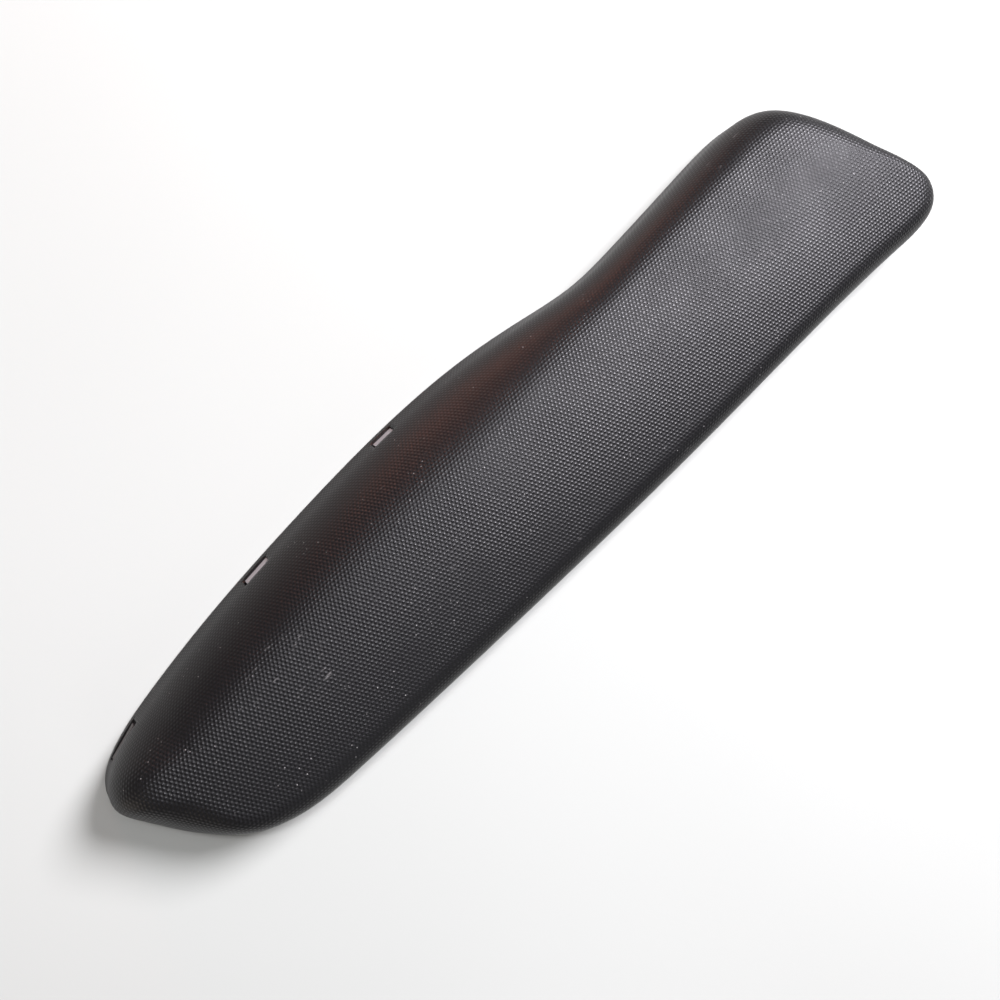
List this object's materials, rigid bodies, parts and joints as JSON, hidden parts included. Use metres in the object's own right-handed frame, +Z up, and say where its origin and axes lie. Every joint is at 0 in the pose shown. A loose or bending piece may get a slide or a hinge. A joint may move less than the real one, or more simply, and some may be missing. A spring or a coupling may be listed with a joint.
{
  "type": "chair armrest pad",
  "caption": "Long chair armrest pad: black moulded skin with a fine woven emboss over foam, on a ribbed carrier with threaded inserts underneath.",
  "frame": {"origin": "middle of the four threaded inserts, on the underside", "axes": "+X towards the blunt end, +Y towards the S-curved edge, +Z up out of the arm-rest surface"},
  "size_m": [0.3483, 0.078, 0.0278],
  "materials": {
    "skin": "moulded black vinyl-like skin, satin, fine hexagonal emboss",
    "foam": "grey flexible polyurethane foam",
    "carrier": "glass-filled nylon, fine spark texture",
    "panel": "black polypropylene, spark-eroded texture",
    "insert": "turned brass, knurled",
    "screw": "zinc-plated steel",
    "clip": "natural grey acetal, smooth"
  },
  "bodies": {
    "root": {"base_panel": "panel", "carrier": "carrier", "cover_skin": "skin", "foam_pad": "foam", "panel_screw_1": "screw", "panel_screw_2": "screw", "panel_screw_3": "screw", "panel_screw_4": "screw", "panel_screw_5": "screw", "panel_screw_6": "screw", "skin_clip_1": "clip", "skin_clip_2": "clip", "skin_clip_3": "clip", "skin_clip_4": "clip", "skin_clip_5": "clip", "skin_clip_6": "clip", "skin_clip_7": "clip", "threaded_insert_1": "insert", "threaded_insert_2": "insert", "threaded_insert_3": "insert", "threaded_insert_4": "insert"}
  },
  "joints": []
}
